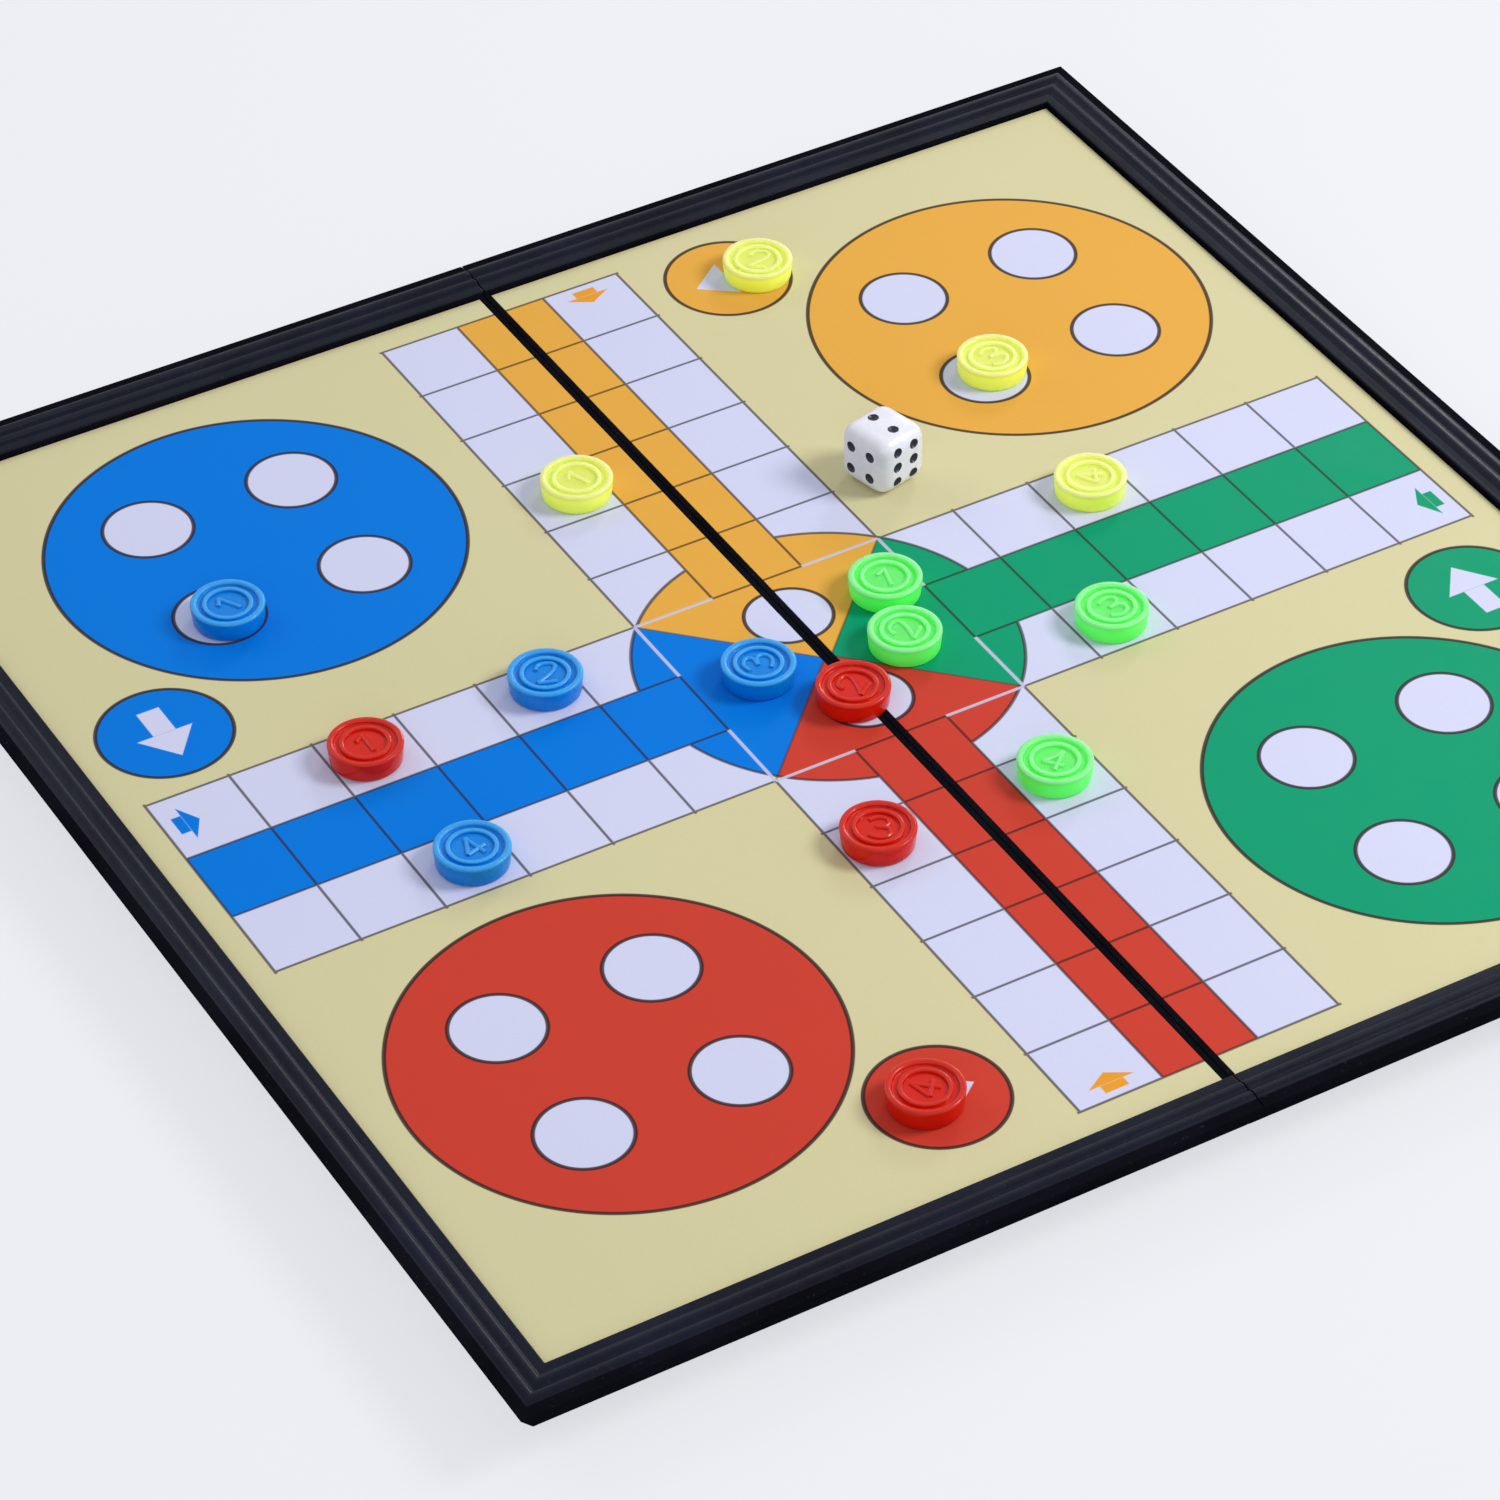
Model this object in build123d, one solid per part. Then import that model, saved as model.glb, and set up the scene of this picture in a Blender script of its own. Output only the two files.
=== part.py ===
from build123d import *
import os

# Folding ludo board box, open flat with its play side up.
# Two moulded cases, hinged along Y, each carry a steel plate and a printed play sheet in a reeded frame.
# They fold down and under, hollow side to hollow side, and store the magnetic counters and the die.
# Millimetres. The origin is on the table under the middle of the open board. +X crosses the fold.

# Open board
board_side = 250.8
play_height = 8.4
fold_gap = 0.2

# Frame moulding and side walls
frame_width = 8.4
frame_rise = 1.9
reed_count = 3
reed_pitch = 2.65
reed_relief = 0.34
reed_step = 0.16
inner_lip_drop = 0.58
outer_flank = 2.4
edge_land = 0.3
edge_drop = 0.6
side_inset = 3.7
rim_inset = 7.2
rim_thickness = 2.8

# Rebated rims: the left rim is a tongue, the right rim closes round it
rim_step = 3.0
rim_play = 0.15
tongue_thickness = 1.3
tongue_play = 0.2

# Deck, steel plate and play sheet
deck_thickness = 1.3
plate_thickness = 0.3
plate_margin = 0.8
sheet_thickness = 0.15
sheet_margin = 0.4
layer_fold_margin = 0.1

# Fold wall and hinge
fold_wall = 2.6
fold_land = 1.0
fold_wall_gap = 0.2
hinge_end_margin = 24.0
knuckle_count = 3
knuckle_length = 12.0
knuckle_gap = 0.3
knuckle_radius = 1.4
knuckle_clearance = 0.25
pin_radius = 0.6
pin_running_clearance = 0.05
pin_end_inset = 0.6

# Counters and their magnets
counter_radius = 6.2
counter_height = 3.8
counter_ring = 1.4
counter_ring_depth = 0.5
magnet_side = 5.0
magnet_height = 1.5
magnet_play = 0.05
pocket_floor_gap = 0.1

# Die
die_side = 10.8
die_chamfer = 1.3
die_turn = 14.0
pip_radius = 0.9
pip_depth = 0.4
pip_spread = 2.2
six_spread = 1.9
six_pitch = 3.05
deuce_spread = 2.35

# Where the loose pieces stand, in squares of the printed track from the middle of the board
squares_to_edge = 7.67
counter_places = {
    "yellow": [(-0.91, 3.87), (2.93, 6.46), (4.25, 3.46), (3.98, 1.01)],
    "green": [(1.10, 0.63), (0.80, -0.26), (2.92, -1.05), (1.01, -2.90)],
    "blue": [(-5.22, 3.83), (-2.86, 1.05), (-0.83, 0.05), (-4.86, -1.03)],
    "red": [(-5.03, 1.00), (-0.16, -0.78), (-1.13, -2.88), (-2.77, -6.45)],
}
die_place = (2.175, 2.445)

# How far a cutting block runs past what it cuts
overcut = 1.0

# Worked out from the sizes above
half_side = board_side / 2
fold_face = fold_gap / 2
axis_height = rim_step / 2
deck_top = play_height - sheet_thickness - plate_thickness
deck_bottom = deck_top - deck_thickness
frame_inner = half_side - frame_width
frame_top = play_height + frame_rise
side_foot = half_side - side_inset
rim_outer = half_side - rim_inset
wall_inner = rim_outer - rim_thickness
tongue_outer = wall_inner + tongue_thickness
groove_inner = tongue_outer + tongue_play
rim_shoulder = rim_step + rim_play
edge_top = frame_top - edge_drop
edge_bottom = edge_top - edge_land
fold_wall_bottom = axis_height + fold_wall_gap / 2
knuckle_pitch = knuckle_length + knuckle_gap
hinge_length = knuckle_count * knuckle_pitch - knuckle_gap
hinge_middle = frame_inner - hinge_end_margin - hinge_length / 2
layer_inner = fold_face + fold_land + layer_fold_margin
square = (frame_inner - sheet_margin) / squares_to_edge


def reed_points():
    """Crests and valleys of the reeds, from the inner lip of the frame to its outer edge."""
    points = []
    for reed in range(reed_count):
        below = reed_count - 1 - reed
        crest = half_side - outer_flank - below * reed_pitch
        height = frame_top - reed_step * below
        if reed == 0:
            points.append((frame_inner, height - inner_lip_drop))
        points.append((crest, height))
        points.append((crest + reed_pitch / 2, height - reed_relief))
    points[-1] = (half_side, edge_top)
    return points


def wall_section(male):
    """Section of the frame and side wall, drawn in X and Z for the wall on the +X side."""
    points = reed_points()
    with BuildSketch(Plane.XZ) as section:
        with BuildLine():
            for reed in range(reed_count):
                ThreePointArc(*points[2 * reed:2 * reed + 3])
            side = [(half_side, edge_top), (half_side, edge_bottom), (side_foot, rim_shoulder)]
            if male:
                rim = [(tongue_outer, rim_shoulder), (tongue_outer, 0), (wall_inner, 0)]
            else:
                rim = [(rim_outer, 0), (groove_inner, 0), (groove_inner, rim_shoulder)]
                rim.append((wall_inner, rim_shoulder))
            Polyline(*side, *rim, (wall_inner, deck_top), (frame_inner, deck_top), points[0])
        make_face()
    return section.sketch


def ring_of(section):
    """The section run round the square board with mitred corners."""
    track = Polyline(
        (half_side, 0, 0),
        (half_side, half_side, 0),
        (-half_side, half_side, 0),
        (-half_side, -half_side, 0),
        (half_side, -half_side, 0),
        (half_side, 0, 0),
    )
    return sweep(section, path=track, transition=Transition.RIGHT)


def block(x0, x1, y0, y1, z0, z1):
    """A box between two corners."""
    return Pos((x0 + x1) / 2, (y0 + y1) / 2, (z0 + z1) / 2) * Box(x1 - x0, y1 - y0, z1 - z0)


def rod(radius, y0, y1):
    """A round bar on the hinge axis."""
    return Pos(0, (y0 + y1) / 2, axis_height) * Rot(X=90) * Cylinder(radius, y1 - y0)


def knuckle_spans(first):
    """Start and end along Y of every second knuckle of both hinges, counted from first."""
    spans = []
    for middle in (-hinge_middle, hinge_middle):
        start = middle - hinge_length / 2
        for knuckle in range(first, knuckle_count, 2):
            low = start + knuckle * knuckle_pitch
            spans.append((low, low + knuckle_length))
    return spans


def case_half(male):
    """One moulded case on the -X side: frame and side walls, deck, fold wall and hinge knuckles."""
    ring = ring_of(wall_section(male))
    half = ring & block(-board_side, -fold_face, -board_side, board_side, -overcut, frame_top + overcut)
    deck = block(-frame_inner, -fold_face, -frame_inner, frame_inner, deck_bottom, deck_top)
    wall = block(-fold_face - fold_wall, -fold_face, -wall_inner, wall_inner, fold_wall_bottom, deck_top)
    land = block(-fold_face - fold_land, -fold_face, -frame_inner, frame_inner, deck_bottom, play_height)
    half += deck + wall + land
    own = knuckle_spans(0 if male else 1)
    other = knuckle_spans(1 if male else 0)
    notch = knuckle_radius + knuckle_clearance
    for low, high in other:
        half -= block(-notch, notch, low - knuckle_gap, high + knuckle_gap, 0, axis_height + notch)
    for low, high in own:
        half += rod(knuckle_radius, low, high)
    for low, high in own:
        half -= rod(pin_radius + pin_running_clearance, low, high)
    return half


def layer(bottom, thickness, margin):
    """A flat layer laid in the frame on the -X side."""
    reach = frame_inner - margin
    return block(-reach, -layer_inner, -reach, reach, bottom, bottom + thickness)


def to_right(part):
    """The -X half turned round Z onto the +X side."""
    return Rot(Z=180) * part


def counter():
    """A round counter with a raised ring on top and a magnet pocket below."""
    ring_inner = counter_radius - counter_ring
    floor = counter_height - counter_ring_depth
    with BuildPart() as body:
        with BuildSketch(Plane.XZ):
            with BuildLine():
                Polyline(
                    (0, 0),
                    (counter_radius, 0),
                    (counter_radius, counter_height),
                    (ring_inner, counter_height),
                    (ring_inner, floor),
                    (0, floor),
                    close=True,
                )
            make_face()
        revolve(axis=Axis.Z)
    reach = magnet_side / 2 + magnet_play
    pocket_top = magnet_height + pocket_floor_gap
    return body.part - block(-reach, reach, -reach, reach, -overcut, pocket_top)


def magnet():
    """The block magnet in the counter's pocket, a little clear of the play surface."""
    return Pos(0, 0, magnet_play + magnet_height / 2) * Box(magnet_side, magnet_side, magnet_height)


def pips(layout, face):
    """Drilled dimples at the places of a layout on one face of the die."""
    drill = Pos(0, 0, -pip_depth / 2) * Cone(0, pip_radius, pip_depth)
    return [face * Pos(x, y) * drill for x, y in layout]


def die():
    """A chamfered die: two up, six and four at the front, opposite faces adding up to seven."""
    half = die_side / 2
    body = chamfer(Box(die_side, die_side, die_side).edges(), die_chamfer)
    corners = [(x, y) for x in (-pip_spread, pip_spread) for y in (-pip_spread, pip_spread)]
    deuce = [(0, -deuce_spread), (0, deuce_spread)]
    six = [(x, y) for x in (-six_spread, six_spread) for y in (-six_pitch, 0, six_pitch)]
    diagonal = [corners[0], corners[3]]
    faces = [
        (deuce, Pos(0, 0, half)),
        (corners + [(0, 0)], Pos(0, 0, -half) * Rot(X=180)),
        (six, Pos(0, -half, 0) * Rot(X=90)),
        ([(0, 0)], Pos(0, half, 0) * Rot(X=-90)),
        (corners, Pos(-half, 0, 0) * Rot(Y=-90)),
        (diagonal + [(0, 0)], Pos(half, 0, 0) * Rot(Y=90)),
    ]
    for layout, face in faces:
        for dimple in pips(layout, face):
            body -= dimple
    return body


def place(part, spot, turn=0):
    """A loose piece stood on the play surface at a spot given in squares."""
    return Pos(spot[0] * square, spot[1] * square, play_height) * Rot(Z=turn) * part


def save(part, name):
    """Write one named piece."""
    export_step(part, f"parts/{name}.step")


os.makedirs("parts", exist_ok=True)

left_case = case_half(True)
right_case = to_right(case_half(False))
save(left_case, "left_case")
save(right_case, "right_case")

plate = layer(deck_top, plate_thickness, plate_margin)
sheet = layer(deck_top + plate_thickness, sheet_thickness, sheet_margin)
save(plate, "left_steel_plate")
save(to_right(plate), "right_steel_plate")
save(sheet, "left_play_sheet")
save(to_right(sheet), "right_play_sheet")

pin_reach = hinge_length / 2 - pin_end_inset
save(rod(pin_radius, -hinge_middle - pin_reach, -hinge_middle + pin_reach), "front_hinge_pin")
save(rod(pin_radius, hinge_middle - pin_reach, hinge_middle + pin_reach), "rear_hinge_pin")

counter_body = counter()
magnet_body = magnet()
for colour, spots in counter_places.items():
    for number, spot in enumerate(spots, start=1):
        save(place(counter_body, spot), f"{colour}_counter_{number}")
        save(place(magnet_body, spot), f"{colour}_magnet_{number}")

die_body = Pos(0, 0, die_side / 2) * die()
save(place(die_body, die_place, die_turn), "die")
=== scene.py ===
import math

import bmesh
import bpy
from mathutils import Matrix, Vector


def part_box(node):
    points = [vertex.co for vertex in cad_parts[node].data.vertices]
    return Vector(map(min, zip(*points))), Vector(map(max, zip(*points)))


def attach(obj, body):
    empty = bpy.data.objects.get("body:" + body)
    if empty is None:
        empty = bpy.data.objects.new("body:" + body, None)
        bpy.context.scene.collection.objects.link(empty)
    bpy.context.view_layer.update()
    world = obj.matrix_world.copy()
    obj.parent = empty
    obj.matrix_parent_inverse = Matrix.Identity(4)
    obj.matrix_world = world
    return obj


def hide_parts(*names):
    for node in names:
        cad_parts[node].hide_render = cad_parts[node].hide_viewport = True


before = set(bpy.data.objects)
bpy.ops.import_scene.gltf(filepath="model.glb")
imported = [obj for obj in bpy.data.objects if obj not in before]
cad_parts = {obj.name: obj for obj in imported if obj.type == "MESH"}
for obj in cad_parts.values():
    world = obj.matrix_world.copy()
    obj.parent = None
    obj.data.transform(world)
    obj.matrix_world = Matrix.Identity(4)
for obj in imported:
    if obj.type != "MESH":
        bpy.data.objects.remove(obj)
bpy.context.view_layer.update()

# all sizes below are in millimetres, unless a note says otherwise
mm = 0.001
level = 0.9                    # how far along Z a face's normal points when the face counts as level
broadWeight = 90               # how much the broad faces set the shading


def clearPick():
    if bpy.context.mode != "OBJECT":
        bpy.ops.object.mode_set(mode="OBJECT")
    bpy.ops.object.select_all(action="DESELECT")


def takeNew(name):
    # names the primitive that was just added and puts its place in its mesh
    piece = bpy.context.active_object
    piece.name = name
    piece.data.name = name
    bpy.ops.object.transform_apply(location=True, rotation=True, scale=True)
    return piece


def pickOnly(piece):
    clearPick()
    piece.select_set(True)
    bpy.context.view_layer.objects.active = piece


def addBlock(name, low, high):
    clearPick()
    middle = [(a + b) / 2 * mm for a, b in zip(low, high)]
    size = [(b - a) * mm for a, b in zip(low, high)]
    bpy.ops.mesh.primitive_cube_add(size=1, location=middle, scale=size)
    return takeNew(name)


def addRod(name, radius, low, high, sides):
    # a round bar along Y on the hinge axis
    clearPick()
    bpy.ops.mesh.primitive_cylinder_add(
        vertices=sides, radius=radius * mm, depth=(high - low) * mm,
        location=(0, (low + high) / 2 * mm, case["axisHeight"] * mm),
        rotation=(math.pi / 2, 0, 0))
    return takeNew(name)


def shape(piece, pick="FACE"):
    # opens a piece in edit mode with nothing selected
    pickOnly(piece)
    bpy.ops.object.mode_set(mode="EDIT")
    bpy.ops.mesh.select_mode(type=pick)
    bpy.ops.mesh.select_all(action="DESELECT")


def pickLevel(piece, way):
    # picks the faces that look straight up, way 1, or straight down, way -1
    bpy.ops.mesh.select_all(action="DESELECT")
    mesh = bmesh.from_edit_mesh(piece.data)
    for face in mesh.faces:
        if face.normal.z * way > level:
            face.select_set(True)
    bmesh.update_edit_mesh(piece.data)


def inset(inwards, up):
    # steps the picked face inwards and along its normal
    if inwards > 0:
        bpy.ops.mesh.inset(thickness=inwards * mm, depth=up * mm)
    else:
        bpy.ops.mesh.extrude_region_shrink_fatten(TRANSFORM_OT_shrink_fatten={"value": up * mm})


def combine(piece, tool, operation):
    pickOnly(piece)
    change = piece.modifiers.new("combine", "BOOLEAN")
    change.operation = operation
    change.solver = "EXACT"
    change.object = tool
    bpy.ops.object.modifier_apply(modifier=change.name)
    bpy.data.objects.remove(tool)


def soften(piece, width, steps, angle):
    # a small round on every edge sharper than the angle
    pickOnly(piece)
    edge = piece.modifiers.new("soften", "BEVEL")
    edge.width = width * mm
    edge.segments = steps
    edge.limit_method = "ANGLE"
    edge.angle_limit = math.radians(angle)
    edge.miter_outer = "MITER_SHARP"
    bpy.ops.object.modifier_apply(modifier=edge.name)


def smooth(piece, angle, flat=False):
    # flat keeps the shading of broad faces level, so that only the small rounds bend it
    pickOnly(piece)
    bpy.ops.object.shade_smooth_by_angle(angle=math.radians(angle))
    if flat:
        shading = piece.modifiers.new("shading", "WEIGHTED_NORMAL")
        shading.weight = broadWeight
        shading.keep_sharp = True
        bpy.ops.object.modifier_apply(modifier=shading.name)


def paint(piece, *finishes):
    piece.data.materials.clear()
    for finish in finishes:
        piece.data.materials.append(finish)


def tint(red, green, blue):
    # a colour as seen on screen, 0 to 255, turned into shader values
    def straight(part):
        part = part / 255
        return part / 12.92 if part <= 0.04045 else ((part + 0.055) / 1.055) ** 2.4
    return (straight(red), straight(green), straight(blue), 1)


class Wire:
    # a node's output that can be written in sums, such as 1 - mask
    def __init__(self, finish, socket):
        self.finish = finish
        self.socket = socket

    def math(self, operation, *others, clip=False):
        sockets = dict(enumerate(others))
        return self.finish.add("ShaderNodeMath", {"operation": operation, "use_clamp": clip}, sockets)

    def __add__(self, other):
        return self.math("ADD", self, other)

    def __radd__(self, other):
        return self.math("ADD", other, self)

    def __sub__(self, other):
        return self.math("SUBTRACT", self, other)

    def __rsub__(self, other):
        return self.math("SUBTRACT", other, self)

    def __mul__(self, other):
        return self.math("MULTIPLY", self, other)

    def __rmul__(self, other):
        return self.math("MULTIPLY", other, self)

    def __truediv__(self, other):
        return self.math("DIVIDE", self, other)

    def __rtruediv__(self, other):
        return self.math("DIVIDE", other, self)

    def __abs__(self):
        return self.math("ABSOLUTE", self)

    def over(self, other):
        return self.math("GREATER_THAN", self, other)

    def least(self, other):
        return self.math("MINIMUM", self, other)

    def most(self, other):
        return self.math("MAXIMUM", self, other)

    def whole(self):
        return self.math("ROUND", self)

    def fill(self, blur):
        # 1 where the wire is below zero, with a soft edge
        return self.math("MULTIPLY_ADD", self, -1 / blur, 0.5, clip=True)

    def out(self, name):
        return Wire(self.finish, self.socket.node.outputs[name])


class Finish:
    # the nodes of one procedural material, or of the world
    def __init__(self, owner):
        self.material = bpy.data.materials.new(owner) if isinstance(owner, str) else owner
        self.material.use_nodes = True
        self.tree = self.material.node_tree
        self.tree.nodes.clear()

    def add(self, kind, settings=None, sockets=None, out=0):
        node = self.tree.nodes.new(kind)
        for name, value in (settings or {}).items():
            setattr(node, name, value)
        for place, value in (sockets or {}).items():
            if isinstance(value, Wire):
                self.tree.links.new(value.socket, node.inputs[place])
            else:
                node.inputs[place].default_value = value
        return Wire(self, node.outputs[out]) if len(node.outputs) else node

    def here(self):
        return self.add("ShaderNodeTexCoord", out="Object")

    def seen(self):
        # 1 for what the camera sees, itself, in a reflection or through something clear
        ray = self.add("ShaderNodeLightPath")
        return ray.out("Is Camera Ray").most(ray.out("Is Glossy Ray")).most(ray.out("Is Transmission Ray"))

    def heightOf(self, place):
        return self.add("ShaderNodeSeparateXYZ", None, {0: place}).out("Z") / mm

    def vector(self, operation, *others):
        # a length and the like are single numbers, which come out of another socket
        result = self.add("ShaderNodeVectorMath", {"operation": operation}, dict(enumerate(others)))
        return result.out("Value") if operation in ("DISTANCE", "DOT_PRODUCT", "LENGTH") else result

    def noise(self, place, scale, detail, rough=0.5):
        return self.add("ShaderNodeTexNoise", None, {
            "Vector": place, "Scale": scale, "Detail": detail, "Roughness": rough})

    def spread(self, value, low=0.0, high=1.0, span=(0.3, 0.7)):
        # stretches a span, by default what a noise mostly fills, to the range that is asked for
        return self.add("ShaderNodeMapRange", None, {
            "Value": value, "From Min": span[0], "From Max": span[1], "To Min": low, "To Max": high})

    def mix(self, mask, under, upper):
        # a Mix node has its colours on sockets 6 and 7 and its vectors on 4 and 5
        return self.add("ShaderNodeMix", {"data_type": "RGBA"}, {0: mask, 6: under, 7: upper}, out=2)

    def mixVector(self, mask, under, upper):
        return self.add("ShaderNodeMix", {"data_type": "VECTOR"}, {0: mask, 4: under, 5: upper}, out=1)

    def dents(self, height, depth, under=None):
        # bump from a height of 0 to 1, with its depth in millimetres
        sockets = {"Height": height, "Distance": depth * mm, "Strength": 1.0}
        if under:
            sockets["Normal"] = under
        return self.add("ShaderNodeBump", None, sockets)

    def close(self, **sockets):
        named = {name.replace("_", " "): value for name, value in sockets.items()}
        surface = self.add("ShaderNodeBsdfPrincipled", None, named)
        self.add("ShaderNodeOutputMaterial", None, {"Surface": surface})
        return self.material


case = {
    "halfSide": 125.4,         # open board, middle to outer edge
    "edgeTop": 9.8,
    "edgeBottom": 9.36,
    "frameInner": 117.0,
    "frameTop": 10.3,
    "reeds": 2,
    "reedPitch": 2.4,
    "reedRelief": 0.34,
    "reedStep": 0.16,
    "outerLand": 1.8,          # plain strip outside the reeds
    "lipRound": 0.25,
    "lipDrop": 0.14,
    "reedSteps": 9,            # faces across one reed
    "deckTop": 7.95,
    "deckBottom": 6.65,
    "playTop": 8.4,
    "sideFoot": 121.7,
    "shoulder": 3.15,
    "rimOuter": 118.2,
    "wallInner": 115.4,
    "tongueOuter": 116.7,
    "grooveInner": 116.9,
    "foldFace": 0.1,
    "foldWall": 2.6,
    "foldLand": 1.0,
    "wallBottom": 1.6,
    "foldEndGap": 0.32,        # from the fold wall's foot to the other half's tongue
    "footRise": 0.4,           # from the groove to where the fold wall reaches the side walls
    "overlap": 1.0,            # how far a block that is joined on runs past its face
    "axisHeight": 1.5,
    "knuckleRadius": 1.4,
    "knuckleLength": 12.0,
    "knuckleGap": 0.3,
    "knuckles": 3,             # in each of the two hinges
    "knuckleSides": 48,
    "hingeMiddle": 74.7,
    "notch": 1.65,             # half the width of the room for the other half's knuckle
    "notchFoot": -0.5,         # the cut starts below the knuckle
    "bore": 0.65,              # radius of the hole for the pin
    "boreSides": 32,
    "endClear": 0.05,          # a knuckle is this much shorter at each end, and its bore this much longer
    "edgeRound": 0.14,
    "roundSteps": 2,
    "roundAngle": 38,          # degrees, edges sharper than this are rounded
    "smoothAngle": 32,         # degrees, edges sharper than this stay crisp
    "glossSlope": 0.2,         # frame faces that look up at least this much are glossy
    "trayBand": 0.1,           # the tray's finish goes this far above the deck's underside
}


def arcThrough(start, crest, end, steps):
    # points after the start on the circle through three points
    (ax, ay), (bx, by), (cx, cy) = start, crest, end
    turn = 2 * (ax * (by - cy) + bx * (cy - ay) + cx * (ay - by))
    a, b, c = ax * ax + ay * ay, bx * bx + by * by, cx * cx + cy * cy
    x = (a * (by - cy) + b * (cy - ay) + c * (ay - by)) / turn
    y = (a * (cx - bx) + b * (ax - cx) + c * (bx - ax)) / turn
    radius = math.hypot(ax - x, ay - y)
    first = math.atan2(ay - y, ax - x)
    last = math.atan2(cy - y, cx - x)
    points = []
    for step in range(1, steps + 1):
        angle = first + (last - first) * step / steps
        points.append((x + radius * math.cos(angle), y + radius * math.sin(angle)))
    return points


def reedProfile():
    # the top of the frame from its outer land to its inner lip, each reed an arc
    reach = case["reedPitch"] / 2
    start = (case["halfSide"] - case["outerLand"], case["frameTop"] - case["reedRelief"])
    points = [start]
    for reed in range(case["reeds"]):
        crest = (start[0] - reach, case["frameTop"] - case["reedStep"] * reed)
        valley = (crest[0] - reach, crest[1] - case["reedStep"] - case["reedRelief"])
        points += arcThrough(start, crest, valley, case["reedSteps"])
        start = valley
    inner = case["frameInner"]
    return points + [(inner + case["lipRound"], start[1]), (inner, start[1] - case["lipDrop"])]


def knuckleSpans(first):
    # every second knuckle of both hinges, from the first that is asked for
    spans = []
    pitch = case["knuckleLength"] + case["knuckleGap"]
    length = case["knuckles"] * pitch - case["knuckleGap"]
    for middle in (-case["hingeMiddle"], case["hingeMiddle"]):
        for knuckle in range(first, case["knuckles"], 2):
            low = middle - length / 2 + knuckle * pitch
            spans.append((low, low + case["knuckleLength"]))
    return spans


def makeCase(name, side):
    # side is -1 for the left half with the tongue rim, 1 for the right half with the grooved rim
    half = case["halfSide"]
    piece = addBlock(name, (-half, -half, case["edgeBottom"]), (half, half, case["edgeTop"]))
    shape(piece)
    pickLevel(piece, 1)
    out, high = half, case["edgeTop"]
    for nextOut, nextHigh in reedProfile():
        inset(out - nextOut, nextHigh - high)
        out, high = nextOut, nextHigh
    inset(0, case["deckTop"] - high)
    pickLevel(piece, -1)
    inset(half - case["sideFoot"], case["edgeBottom"] - case["shoulder"])
    if side < 0:
        inset(case["sideFoot"] - case["tongueOuter"], 0)
        inset(0, case["shoulder"])
        inset(case["tongueOuter"] - case["wallInner"], 0)
        inset(0, -case["deckBottom"])
    else:
        inset(case["sideFoot"] - case["rimOuter"], case["shoulder"])
        inset(case["rimOuter"] - case["grooveInner"], 0)
        inset(0, -case["shoulder"])
        inset(case["grooveInner"] - case["wallInner"], 0)
        inset(0, case["shoulder"] - case["deckBottom"])
    clearPick()
    addFold(piece, side)
    shape(piece)
    bpy.ops.mesh.select_all(action="SELECT")
    bpy.ops.mesh.bisect(
        plane_co=(side * case["foldFace"] * mm, 0, 0), plane_no=(-side, 0, 0),
        use_fill=True, clear_outer=True)
    soften(piece, case["edgeRound"], case["roundSteps"], case["roundAngle"])
    addKnuckles(piece, side)
    smooth(piece, case["smoothAngle"], flat=True)
    return piece


def across(side, near, far):
    # an X span that is measured out from the fold
    return (near, far) if side > 0 else (-far, -near)


def addFold(piece, side):
    # blocks run past the fold and into the walls, and the cut along the fold trims them
    face, past = case["foldFace"], case["overlap"]
    wall = across(side, face - past, face + case["foldWall"])
    top = case["deckTop"] - past / 2
    reach = case["wallInner"] + past / 2
    foot = case["wallBottom"]
    block = addBlock("foldWall", (wall[0], -reach, foot), (wall[1], reach, top))
    if side > 0:
        # the foot's ends stop inside the tongue of the other half when the board is folded
        ends = case["wallInner"] - case["foldEndGap"]
        rise = case["shoulder"] + case["footRise"]
        for low, high in ((-reach - past, -ends), (ends, reach + past)):
            cut = addBlock("footEnd", (wall[0] - past, low, foot - past), (wall[1] + past, high, rise))
            combine(block, cut, "DIFFERENCE")
    combine(piece, block, "UNION")
    land = across(side, face - past / 2, face + case["foldLand"])
    reach = case["frameInner"] + past / 2
    block = addBlock("foldLand", (land[0], -reach, top - past / 4), (land[1], reach, case["playTop"]))
    combine(piece, block, "UNION")


def addKnuckles(piece, side):
    own = knuckleSpans(0 if side < 0 else 1)
    other = knuckleSpans(1 if side < 0 else 0)
    notch, gap, clear = case["notch"], case["knuckleGap"], case["endClear"]
    top = case["axisHeight"] + notch
    for low, high in other:
        block = addBlock("notch", (-notch, low - gap, case["notchFoot"]), (notch, high + gap, top))
        combine(piece, block, "DIFFERENCE")
    # no end lies flush with another face, because flush faces don't join in the same way each run
    for low, high in own:
        rod = addRod("knuckle", case["knuckleRadius"], low + clear, high - clear, case["knuckleSides"])
        combine(piece, rod, "UNION")
    for low, high in own:
        rod = addRod("bore", case["bore"], low - clear, high + clear, case["boreSides"])
        combine(piece, rod, "DIFFERENCE")


leftHalf = makeCase("leftCaseMoulding", -1)
rightHalf = makeCase("rightCaseMoulding", 1)
for piece, node, body in ((leftHalf, "left_case", "left_half"), (rightHalf, "right_case", "right_half")):
    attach(piece, body)
    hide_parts(node)
print("case halves made")


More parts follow.
